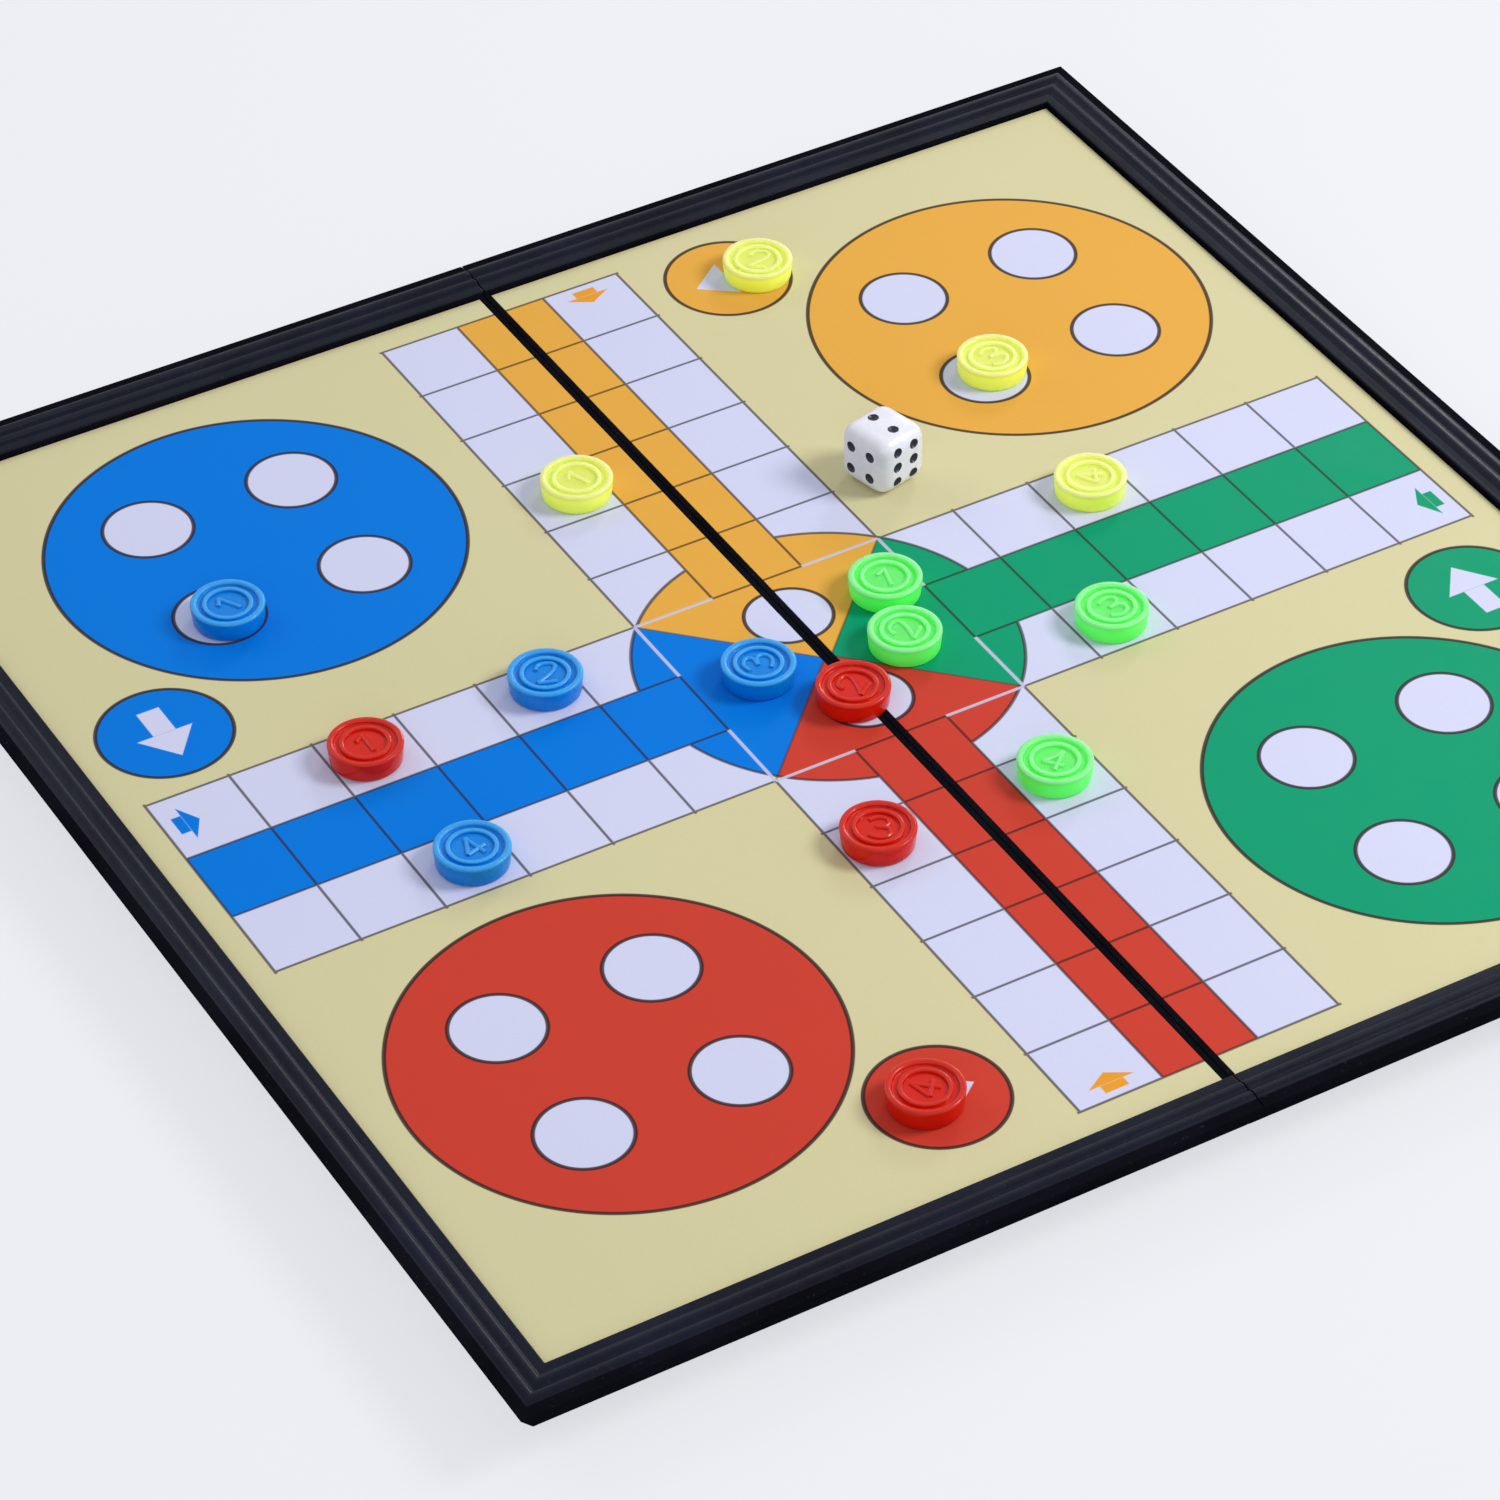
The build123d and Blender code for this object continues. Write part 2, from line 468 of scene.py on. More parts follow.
counter = {
    "radius": 6.2,
    "footRadius": 5.85,
    "height": 3.8,
    "sides": 96,
    "ringWidth": 1.15,
    "ringRound": 0.42,
    "grooveDepth": 0.65,
    "grooveWidth": 0.85,
    "beadWidth": 0.75,
    "beadHeight": 0.5,
    "beadRound": 0.2,
    "footRound": 0.5,
    "roundSteps": 4,
    "smoothAngle": 35,         # degrees
    "ringWithin": (0.03, 0.01),  # how near the corners of a ring are to its radius and height
    "pocket": 2.55,            # half the side of the magnet's pocket
    "pocketFoot": -1,          # the cut starts below the counter
    "pocketTop": 1.6,
    "strokeRadius": 0.44,      # of the round bars that the numerals are made of
    "strokeSink": 0.06,
    "strokeOrder": 3,
    "strokeSteps": 5,
    "strokeSides": 3,          # steps across a quarter of the bar
    "weld": 0.001,
    "sliver": 0.002,
    # five points along each stroke of each numeral
    "numerals": {
        1: [[(-1.2, 1.0), (-0.8, 1.25), (-0.4, 1.5), (0.0, 1.8), (0.36, 2.06)],
            [(0.4, 2.2), (0.4, 1.1), (0.4, 0.0), (0.4, -1.1), (0.4, -2.3)]],
        2: [[(-1.4, 1.1), (-1.2, 2.7), (2.1, 2.6), (1.5, 0.2), (-1.5, -2.1)],
            [(-1.58, -2.13), (-0.8, -2.13), (0.0, -2.13), (0.8, -2.13), (1.6, -2.13)]],
        3: [[(-1.4, 1.8), (0.1, 2.8), (2.0, 1.7), (1.3, 0.2), (-0.4, 0.2)],
            [(-0.33, 0.15), (1.7, 0.18), (2.2, -1.6), (0.2, -2.8), (-1.5, -1.7)]],
        4: [[(0.6, 2.3), (0.1, 1.5), (-0.5, 0.7), (-1.1, -0.1), (-1.7, -0.9)],
            [(-1.7, -0.9), (-0.9, -0.9), (0.0, -0.9), (0.9, -0.9), (1.8, -0.9)],
            [(0.6, 2.3), (0.6, 1.2), (0.6, 0.0), (0.6, -1.2), (0.6, -2.3)]],
    },
    # degrees that each counter is turned
    "turns": {
        "yellow": (20, -35, 10, 65),
        "green": (-15, 40, 5, -50),
        "blue": (30, -20, 75, 15),
        "red": (0, 35, -30, 50),
    },
}


def pickRing(piece, radius, height):
    # picks the edges on a circle round the counter's middle
    aside, above = counter["ringWithin"]

    def onRing(corner):
        return abs(math.hypot(corner.x, corner.y) - radius) < aside and abs(corner.z - height) < above

    mesh = bmesh.from_edit_mesh(piece.data)
    for edge in mesh.edges:
        if all(onRing(corner.co / mm) for corner in edge.verts):
            edge.select_set(True)
    bmesh.update_edit_mesh(piece.data)


def addStroke(points, floor):
    # a round bar half sunk in the counter's floor
    clearPick()
    bpy.ops.curve.primitive_nurbs_path_add(location=(0, 0, 0))
    stroke = bpy.context.active_object
    path = stroke.data.splines[0]
    for knot, (x, y) in zip(path.points, points):
        knot.co = (x * mm, y * mm, (floor - counter["strokeSink"]) * mm, 1)
    path.order_u = counter["strokeOrder"]
    path.use_endpoint_u = True
    stroke.data.resolution_u = counter["strokeSteps"]
    stroke.data.bevel_depth = counter["strokeRadius"] * mm
    stroke.data.bevel_resolution = counter["strokeSides"]
    stroke.data.use_fill_caps = True
    bpy.ops.object.convert(target="MESH")
    stroke = takeNew("stroke")
    shape(stroke, "VERT")
    bpy.ops.mesh.select_all(action="SELECT")
    bpy.ops.mesh.remove_doubles(threshold=counter["weld"] * mm)
    bpy.ops.mesh.normals_make_consistent(inside=False)
    clearPick()
    return stroke


def makeCounter(number):
    radius, top = counter["radius"], counter["height"]
    clearPick()
    bpy.ops.mesh.primitive_cylinder_add(
        vertices=counter["sides"], radius=radius * mm, depth=top * mm, location=(0, 0, top / 2 * mm))
    piece = takeNew("counterPattern")
    shape(piece)
    pickLevel(piece, -1)
    narrower = counter["footRadius"] / radius
    bpy.ops.transform.resize(value=(narrower, narrower, 1), center_override=(0, 0, 0))
    pickLevel(piece, 1)
    ringInner = radius - counter["ringWidth"]
    beadOuter = ringInner - counter["grooveWidth"]
    beadInner = beadOuter - counter["beadWidth"]
    floor = top - counter["grooveDepth"]
    beadTop = floor + counter["beadHeight"]
    inset(counter["ringWidth"], 0)
    inset(0, -counter["grooveDepth"])
    inset(counter["grooveWidth"], 0)
    inset(0, counter["beadHeight"])
    inset(counter["beadWidth"], 0)
    inset(0, -counter["beadHeight"])
    rounds = [
        (radius, top, "ringRound"),
        (ringInner, top, "ringRound"),
        (counter["footRadius"], 0, "footRound"),
        (beadOuter, beadTop, "beadRound"),
        (beadInner, beadTop, "beadRound"),
        (ringInner, floor, "beadRound"),
    ]
    for ring, height, size in rounds:
        shape(piece, "EDGE")
        pickRing(piece, ring, height)
        bpy.ops.mesh.bevel(
            offset=counter[size] * mm, segments=counter["roundSteps"], affect="EDGES", clamp_overlap=True)
    clearPick()
    for points in counter["numerals"][number]:
        combine(piece, addStroke(points, floor), "UNION")
    reach = counter["pocket"]
    pocket = addBlock("pocket", (-reach, -reach, counter["pocketFoot"]), (reach, reach, counter["pocketTop"]))
    combine(piece, pocket, "DIFFERENCE")
    shape(piece, "VERT")
    bpy.ops.mesh.select_all(action="SELECT")
    bpy.ops.mesh.dissolve_degenerate(threshold=counter["sliver"] * mm)
    smooth(piece, counter["smoothAngle"])
    return piece


def standOn(node):
    # the middle of the foot of a CAD node
    low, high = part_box(node)
    return Vector(((low.x + high.x) / 2, (low.y + high.y) / 2, low.z))


def putDown(piece, name, node, turn):
    # stands a piece made round the origin on its CAD node's place
    pickOnly(piece)
    piece.location = standOn(node)
    piece.rotation_euler.z = math.radians(turn)
    return takeNew(name)


def copyOf(pattern):
    pickOnly(pattern)
    bpy.ops.object.duplicate(linked=False)
    return bpy.context.active_object


counterPieces = {}
patterns = [makeCounter(number) for number in counter["numerals"]]
for colour, turns in counter["turns"].items():
    for number, turn in enumerate(turns, start=1):
        node = f"{colour}_counter_{number}"
        piece = putDown(copyOf(patterns[number - 1]), f"{colour}Counter{number}", node, turn)
        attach(piece, f"{colour}_piece_{number}")
        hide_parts(node)
        counterPieces.setdefault(colour, []).append(piece)
for pattern in patterns:
    bpy.data.objects.remove(pattern)
print("counters made")


die = {
    "side": 10.8,
    "round": 2.6,
    "roundSteps": 6,
    "roundAngle": 30,          # degrees
    "smoothAngle": 32,
    "pipRadius": 1.15,         # of the ball that hollows a pip
    "pipRise": 0.62,           # how far the ball's middle stands off the face
    "pipFineness": 4,
    "pipWithin": 0.01,         # how near a corner of a pip is to its ball
    "spread": 2.2,
    "sixSpread": 1.9,
    "sixPitch": 3.05,
    "deuceSpread": 2.35,
    "turn": 14.0,
}


def pipCentres():
    # the middles of the balls that hollow the pips, laid out on the top face and turned onto each face
    wide, six, pitch, deuce = die["spread"], die["sixSpread"], die["sixPitch"], die["deuceSpread"]
    corners = [(x, y) for x in (-wide, wide) for y in (-wide, wide)]
    sixes = [(x, y) for x in (-six, six) for y in (-pitch, 0, pitch)]
    faces = [
        ([(0, -deuce), (0, deuce)], Matrix()),
        (corners + [(0, 0)], Matrix.Rotation(math.pi, 4, "X")),
        (sixes, Matrix.Rotation(math.pi / 2, 4, "X")),
        ([(0, 0)], Matrix.Rotation(-math.pi / 2, 4, "X")),
        (corners, Matrix.Rotation(-math.pi / 2, 4, "Y")),
        ([corners[0], corners[3], (0, 0)], Matrix.Rotation(math.pi / 2, 4, "Y")),
    ]
    rise = die["side"] / 2 + die["pipRise"]
    return [turn @ Vector((x, y, rise)) for spots, turn in faces for x, y in spots]


def makeDie():
    half = die["side"] / 2
    piece = addBlock("dieBlock", (-half, -half, -half), (half, half, half))
    soften(piece, die["round"], die["roundSteps"], die["roundAngle"])
    centres = pipCentres()
    balls = []
    for centre in centres:
        clearPick()
        bpy.ops.mesh.primitive_ico_sphere_add(
            subdivisions=die["pipFineness"], radius=die["pipRadius"] * mm, location=centre * mm)
        balls.append(takeNew("pip"))
    pickOnly(balls[0])
    for ball in balls:
        ball.select_set(True)
    bpy.ops.object.join()
    combine(piece, balls[0], "DIFFERENCE")

    # a face is painted when one ball reaches all its corners
    reach = die["pipRadius"] + die["pipWithin"]
    touched = []
    for corner in piece.data.vertices:
        at = corner.co / mm
        touched.append({ball for ball, centre in enumerate(centres) if (at - centre).length < reach})
    painted = []
    for face in piece.data.polygons:
        painted.append(bool(set.intersection(*(touched[corner] for corner in face.vertices))))
    smooth(piece, die["smoothAngle"])
    piece.data.transform(Matrix.Translation((0, 0, half * mm)))
    return putDown(piece, "dieBlock", "die", die["turn"]), painted


diePiece, diePainted = makeDie()
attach(diePiece, "die_piece")
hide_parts("die")
print("die made")


art = {
    "square": 15.2026,         # millimetres in one square of the track
    "blur": 0.012,             # soft edge of the print, in squares like all below
    "line": 0.016,             # half the width of a thin line
    "outline": 0.0225,         # half the width of the line round a circle
    "foldShift": 0.04,         # each half of the track stands off the fold by this
    "armHalf": 1.49,
    "armEnd": 7.32,
    "laneHalf": 0.52,
    "pitch": 0.9717,
    "circleAt": (0.03, 0.045, 0),
    "circleRadius": 2.107,
    "homeAt": 0.82,
    "homeRadius": 0.45,
    "spotRadius": 0.5,
    "yardRadius": 2.315,
    "yardSpot": 0.88,
    "startRadius": 0.73,
    "stepStart": 0.2,          # where the lines across an arm start, out from the middle square
    "edgeStart": 0.01,         # the same for the line round an arm
    "circleSwell": 0.004,      # how much wider the line round the middle circle is
    "slant": 0.7071,           # turns a difference of X and Y into the distance from a diagonal
    "diagonalWidth": 0.8,      # dark diagonals of the middle square, as a share of a thin line
    "paleWidth": 1.25,         # pale sides of the middle square, the same
    "lineInk": 0.8,
    "diagonalInk": 0.55,
    "paleInk": 0.75,
    "outlineInk": 0.92,
    # tail, neck and tip along an arrow, then half its stem and half its head
    "startArrow": ((0.42, 0.0, -0.42), (0.13, 0.32)),
    "laneArrow": ((7.225, 7.11, 6.955), (0.137, 0.27)),
    "laneArrowAside": 1.03,
    # quadrant order: back left, back right, front left, front right
    "yards": ((-4.39, 4.83, 0), (5.02, 4.31, 0), (-4.96, -4.24, 0), (4.32, -4.87, 0)),
    "starts": ((-6.656, 2.46, 0), (2.6, 6.575, 0), (-2.61, -6.425, 0), (6.62, -2.55, 0)),
    "sideways": ((0, 1, 0), (1, 0, 0), (-1, 0, 0), (0, -1, 0)),
    "outwards": ((-1, 0, 0), (0, 1, 0), (0, -1, 0), (1, 0, 0)),
    "cream": tint(216, 209, 163),
    "white": tint(213, 216, 243),
    "blue": tint(0, 122, 224),
    "orange": tint(233, 173, 72),
    "red": tint(206, 66, 50),
    "green": tint(8, 156, 112),
    "dark": tint(46, 32, 34),
    "arrowOrange": tint(236, 160, 50),
}


def pickQuadrant(mix, right, back, values):
    # one of four values, by the quarter of the board that a point lies in
    backLeft, backRight, frontLeft, frontRight = values
    return mix(back, mix(right, frontLeft, frontRight), mix(right, backLeft, backRight))


def drawBoard(finish, here):
    # the traditional cross and circle track, drawn layer on layer
    blur, line = art["blur"], art["line"]
    parts = finish.add("ShaderNodeSeparateXYZ", None, {0: here})
    x = parts / (art["square"] * mm)
    y = parts.out("Y") / (art["square"] * mm)
    spot = finish.add("ShaderNodeCombineXYZ", None, {"X": x, "Y": y})
    right, back = x.over(0), y.over(0)
    sideX, sideY = abs(x) - art["foldShift"], abs(y)
    outer, inner = sideX.most(sideY), sideX.least(sideY)
    sector = finish.mix(
        sideY.over(sideX),
        finish.mix(right, art["blue"], art["green"]),
        finish.mix(back, art["red"], art["orange"]))
    quadrant = pickQuadrant(finish.mix, right, back, (art["blue"], art["orange"], art["red"], art["green"]))

    # the four arms with their white squares and coloured home lanes
    armHalf, laneHalf = art["armHalf"], art["laneHalf"]
    arm = (inner - armHalf).most(armHalf - outer).most(outer - art["armEnd"])
    lane = (inner - laneHalf).most(outer - art["armEnd"])
    circle = finish.vector("DISTANCE", spot, art["circleAt"]) - art["circleRadius"]
    colour = finish.mix(arm.fill(blur), art["cream"], art["white"])
    colour = finish.mix(lane.fill(blur), colour, sector)
    colour = finish.mix(circle.fill(blur), colour, sector)

    # thin lines, all dark but the sides of the middle square
    step = (outer - armHalf) / art["pitch"]
    fromStep = abs(step - step.whole()) * art["pitch"]
    steps = fromStep.most(arm - line).most(armHalf + art["stepStart"] - outer)
    laneSides = abs(inner - laneHalf).most(armHalf - outer).most(outer - art["armEnd"])
    laneFoot = abs(outer - armHalf).most(inner - laneHalf)
    armEdge = abs(arm).most(armHalf + art["edgeStart"] - outer)
    circleEdge = (abs(circle) - art["circleSwell"]).most(laneHalf - inner)
    dark = steps.least(laneSides).least(laneFoot).least(armEdge).least(circleEdge) - line
    colour = finish.mix(dark.fill(blur) * art["lineInk"], colour, art["dark"])
    diagonal = (abs(sideX - sideY) * art["slant"] - line * art["diagonalWidth"]).most(outer - armHalf)
    colour = finish.mix(diagonal.fill(blur) * art["diagonalInk"], colour, art["dark"])
    pale = (abs(outer - armHalf) - line * art["paleWidth"]).most(laneHalf - inner).most(inner - armHalf)
    colour = finish.mix(pale.fill(blur) * art["paleInk"], colour, art["white"])

    # home circles lie across the fold
    homeSpot = finish.add("ShaderNodeCombineXYZ", None, {"X": sideX, "Y": sideY - art["homeAt"]})
    home = finish.vector("DISTANCE", homeSpot, (0, 0, 0)) - art["homeRadius"]
    colour = ringed(finish, colour, home, art["white"])

    # yards with four white spots each
    yardAt = pickQuadrant(finish.mixVector, right, back, art["yards"])
    fromYard = finish.vector("SUBTRACT", spot, yardAt)
    yard = finish.vector("DISTANCE", fromYard, (0, 0, 0)) - art["yardRadius"]
    colour = ringed(finish, colour, yard, quadrant)
    folded = finish.vector("ABSOLUTE", fromYard)
    pocket = finish.vector("DISTANCE", folded, (art["yardSpot"], art["yardSpot"], 0)) - art["spotRadius"]
    colour = ringed(finish, colour, pocket, art["white"])

    # start spots with a plain arrow
    sideways = pickQuadrant(finish.mixVector, right, back, art["sideways"])
    outwards = pickQuadrant(finish.mixVector, right, back, art["outwards"])
    startAt = pickQuadrant(finish.mixVector, right, back, art["starts"])
    fromStart = finish.vector("SUBTRACT", spot, startAt)
    start = finish.vector("DISTANCE", fromStart, (0, 0, 0)) - art["startRadius"]
    colour = ringed(finish, colour, start, quadrant)
    aside = finish.vector("DOT_PRODUCT", fromStart, sideways)
    outward = finish.vector("DOT_PRODUCT", fromStart, outwards)
    arrow = drawArrow(aside, outward, *art["startArrow"])
    colour = finish.mix(arrow.fill(blur), colour, art["white"])

    # small arrows in the last square of each arm
    aside = finish.vector("DOT_PRODUCT", spot, sideways) - art["laneArrowAside"]
    outward = finish.vector("DOT_PRODUCT", spot, outwards)
    arrow = drawArrow(outward, aside, *art["laneArrow"])
    arrowColour = pickQuadrant(
        finish.mix, right, back, (art["blue"], art["arrowOrange"], art["arrowOrange"], art["green"]))
    return finish.mix(arrow.fill(blur), colour, arrowColour)


def ringed(finish, under, shape, colour):
    # a filled shape with a thin dark outline
    filled = finish.mix(shape.fill(art["blur"]), under, colour)
    edge = (abs(shape) - art["outline"]).fill(art["blur"])
    return finish.mix(edge * art["outlineInk"], filled, art["dark"])


def drawArrow(length, width, stops, halves):
    # an arrow from its tail to its tip along the length, with a stem and a wider head
    tail, neck, tip = stops
    stem = (abs(width) - halves[0]).most(length - tail).most(neck - length)
    head = (abs(width) - (length - tip) * (halves[1] / (neck - tip))).most(length - neck)
    return stem.least(head)


# in the finishes below a noise is given by its scale, detail and roughness
paper = {
    "cloud": (14, 4),
    "cloudShade": 0.03,
    "fibre": (2600, 3, 0.7),
    "fibreShade": 0.04,
    "fibreDepth": 0.002,
    "shade": tint(60, 58, 60),
    "rub": (120, 5, 0.6),
    "roughness": (0.34, 0.48),
    "bending": 1.45,
    "gloss": 0.04,
}


def printedSheet():
    finish = Finish("printedSheet")
    here = finish.here()
    colour = drawBoard(finish, here)
    cloud = finish.spread(finish.noise(here, *paper["cloud"]))
    fibre = finish.spread(finish.noise(here, *paper["fibre"]))
    shaded = cloud * paper["cloudShade"] + fibre * paper["fibreShade"]
    colour = finish.mix(shaded, colour, paper["shade"])
    rough = finish.spread(finish.noise(here, *paper["rub"]), *paper["roughness"])
    skin = finish.dents(fibre, paper["fibreDepth"])
    return finish.close(
        Base_Color=colour, Roughness=rough, Normal=skin,
        IOR=paper["bending"], Specular_IOR_Level=paper["gloss"])


black = {
    # darker tone, lighter tone, roughness from and to, gloss
    "frameGloss": (tint(12, 14, 26), tint(20, 24, 40), 0.24, 0.36, 0.1),
    "wallMatte": (tint(13, 13, 19), tint(20, 20, 28), 0.55, 0.75, 0.0),
    # the tray's lighter tones are painted light, so the shaded inside of the box shows
    "trayPaintedLight": (tint(27, 28, 34), tint(38, 39, 46), 0.36, 0.5, 0.35),
    "cloud": (70, 4),
    "grain": (4200, 2),
    "grainDepth": 0.006,
    "wave": (160, 3),
    "waveDepth": 0.02,
    "scratch": (260, 6, 0.75),
    # rubbed tops of the reeds
    "wear": (420, 5, 0.7),
    "wearSpan": (0.45, 0.75),
    "crestSpan": (9.9, 10.3),
    "crest": tint(44, 46, 58),
    "crestShade": 0.25,
    "crestPolish": 0.06,
    "specks": (1500, 2, 0.6),
    "speckSpan": (0.66, 0.74),
    "dust": tint(130, 130, 135),
    "dustShade": 0.06,
    "bending": 1.45,
}


def casePlastic(name):
    darker, lighter, smoothest, roughest, gloss = black[name]
    finish = Finish(name)
    here = finish.here()
    cloud = finish.spread(finish.noise(here, *black["cloud"]))
    grain = finish.noise(here, *black["grain"])
    worn = finish.spread(finish.noise(here, *black["wear"]), span=black["wearSpan"])
    crest = finish.spread(finish.heightOf(here), span=black["crestSpan"])
    dust = finish.spread(finish.noise(here, *black["specks"]), span=black["speckSpan"])
    colour = finish.mix(cloud, darker, lighter)
    colour = finish.mix(crest * worn * black["crestShade"], colour, black["crest"])
    colour = finish.mix(dust * black["dustShade"], colour, black["dust"])
    scratch = finish.noise(here, *black["scratch"])
    rough = finish.spread(scratch, smoothest, roughest) - crest * worn * black["crestPolish"]
    wave = finish.dents(finish.noise(here, *black["wave"]), black["waveDepth"])
    skin = finish.dents(grain, black["grainDepth"], under=wave)
    return finish.close(
        Base_Color=colour, Roughness=rough, Normal=skin,
        IOR=black["bending"], Specular_IOR_Level=gloss)


dyes = {
    # body colour, painted sheen of the top and raised rims, darker tone for the painted shade at the foot and
    # for swirls and specks, painted glow that lightens the sides, roughness, glow inside and its depth
    "yellow": (
        tint(234, 252, 116), tint(246, 253, 158), tint(218, 240, 60), tint(104, 120, 0), 0.36, 0.9, 3.5),
    "green": (
        tint(108, 252, 114), tint(148, 252, 158), tint(80, 240, 82), tint(30, 132, 30), 0.36, 0.9, 3.5),
    "blue": (
        tint(0, 134, 224), tint(82, 184, 240), tint(0, 84, 178), tint(0, 16, 20), 0.28, 0.3, 1.2),
    "red": (
        tint(216, 30, 10), tint(200, 50, 34), tint(176, 10, 6), tint(50, 0, 0), 0.16, 0.4, 1.4),
    # where the painted sheen on the top and the painted glow on the sides start and are full, below the
    # counter's top
    "paintedSheenSpan": (0.6, 0.2),
    "paintedGlowSpan": (0.7, 1.0),
    # painted shade darkens the foot up to this height
    "footRise": 1.8,           # the foot is darker up to here
    "paintedSheenShare": 0.55,
    "footShade": 0.4,
    "unlit": tint(0, 0, 0),
    "swirl": (240, 3),
    "swirlShade": 0.12,
    "swirlDepth": 0.03,
    "speck": (5200, 2),
    "speckShade": 0.05,
    "speckDepth": 0.004,
    "rub": (900, 4, 0.65),
    "rubBelow": 0.06,          # how far the rub takes the roughness down and up
    "rubAbove": 0.08,
    "bending": 1.49,
    "gloss": 0.22,
}


def counterPlastic(colour):
    body, paintedTopSheen, shadeSwirlAndSpeckTone, paintedSideGlow, roughness, glow, glowDepth = dyes[colour]
    finish = Finish(f"{colour}Plastic")
    here = finish.here()
    base, top = case["playTop"], case["playTop"] + counter["height"]
    height = finish.heightOf(here)
    # painted highlight: a lighter sheen by height on the top and raised rims
    paintedSheenMask = finish.spread(height, span=[top - below for below in dyes["paintedSheenSpan"]])
    # painted shade, darker towards the foot
    low = finish.spread(height, span=(base + dyes["footRise"], base))
    # painted glow on the sides, where the lamps leave them darker
    side = finish.spread(height, span=[top - below for below in dyes["paintedGlowSpan"]])
    swirl = finish.spread(finish.noise(here, *dyes["swirl"]))
    speck = finish.spread(finish.noise(here, *dyes["speck"]))
    shade = finish.mix(low * dyes["footShade"] + swirl * dyes["swirlShade"], body, shadeSwirlAndSpeckTone)
    shade = finish.mix(paintedSheenMask * dyes["paintedSheenShare"], shade, paintedTopSheen)
    shade = finish.mix(speck * dyes["speckShade"], shade, shadeSwirlAndSpeckTone)
    rub = finish.noise(here, *dyes["rub"])
    rough = finish.spread(rub, roughness - dyes["rubBelow"], roughness + dyes["rubAbove"])
    skin = finish.dents(speck, dyes["speckDepth"], under=finish.dents(swirl, dyes["swirlDepth"]))
    # the emission is painted light that brightens the sides
    finish.material.cycles.emission_sampling = "NONE"  # too faint to count as a lamp
    return finish.close(
        Base_Color=shade, Roughness=rough, Normal=skin,
        IOR=dyes["bending"], Specular_IOR_Level=dyes["gloss"],
        Subsurface_Weight=glow, Subsurface_Radius=(1.0, 1.0, 1.0), Subsurface_Scale=glowDepth * mm,
        Emission_Color=finish.mix(side, dyes["unlit"], paintedSideGlow), Emission_Strength=1.0)


ivory = {
    "swirl": (300, 3),
    "swirlShade": 0.5,
    "lighter": tint(236, 237, 247),
    "darker": tint(222, 223, 234),
    "grime": (1400, 4, 0.7),
    "grimeSpan": (0.62, 0.8),
    "grimeShade": 0.12,
    "grimeColour": tint(150, 140, 130),
    "rub": (800, 4),
    "roughness": (0.18, 0.3),
    "grain": (2600, 2),
    "grainDepth": 0.004,
    "bending": 1.49,
    "glow": 0.25,
    "glowColour": (1.0, 0.95, 0.9),
    "glowDepth": 1.0,
}


def dieWhite():
    finish = Finish("dieWhite")
    here = finish.here()
    swirl = finish.spread(finish.noise(here, *ivory["swirl"]))
    colour = finish.mix(swirl * ivory["swirlShade"], ivory["lighter"], ivory["darker"])
    grime = finish.spread(finish.noise(here, *ivory["grime"]), span=ivory["grimeSpan"])
    colour = finish.mix(grime * ivory["grimeShade"], colour, ivory["grimeColour"])
    rough = finish.spread(finish.noise(here, *ivory["rub"]), *ivory["roughness"])
    skin = finish.dents(finish.noise(here, *ivory["grain"]), ivory["grainDepth"])
    return finish.close(
        Base_Color=colour, Roughness=rough, Normal=skin, IOR=ivory["bending"],
        Subsurface_Weight=ivory["glow"], Subsurface_Radius=ivory["glowColour"],
        Subsurface_Scale=ivory["glowDepth"] * mm)


pipInk = {
    "patch": (2200, 3),
    "darker": tint(10, 12, 34),
    "lighter": tint(24, 24, 52),
    "roughness": (0.3, 0.45),
    "grain": (3800, 2),
    "grainDepth": 0.01,
    "bending": 1.48,
}


def pipPaint():
    finish = Finish("pipPaint")
    here = finish.here()
    patch = finish.spread(finish.noise(here, *pipInk["patch"]))
    colour = finish.mix(patch, pipInk["darker"], pipInk["lighter"])
    rough = finish.spread(patch, *pipInk["roughness"])
    skin = finish.dents(finish.noise(here, *pipInk["grain"]), pipInk["grainDepth"])
    return finish.close(Base_Color=colour, Roughness=rough, Normal=skin, IOR=pipInk["bending"])


metals = {
    # how the grain is drawn out, its noise and its depth,
    # darker and lighter tone, roughness from and to, and the shader's own value
    "rolledSteel": (
        (1, 60, 1), (90, 5, 0.7), 0.004,
        tint(178, 180, 184), tint(206, 208, 210), (0.28, 0.44), {"Metallic": 1.0}),
    "pinSteel": (
        (40, 1, 40), (160, 4, 0.7), 0.004,
        tint(168, 168, 170), tint(198, 197, 196), (0.22, 0.36), {"Metallic": 1.0}),
    "ferrite": (
        (1, 1, 1), (2400, 5, 0.75), 0.02,
        tint(38, 37, 38), tint(66, 64, 64), (0.5, 0.7), {"IOR": 1.9}),
}


def metal(name):
    drawn, noise, depth, darker, lighter, roughness, kind = metals[name]
    finish = Finish(name)
    grain = finish.noise(finish.vector("MULTIPLY", finish.here(), drawn), *noise)
    colour = finish.mix(finish.spread(grain), darker, lighter)
    rough = finish.spread(grain, *roughness)
    return finish.close(Base_Color=colour, Roughness=rough, Normal=finish.dents(grain, depth), **kind)


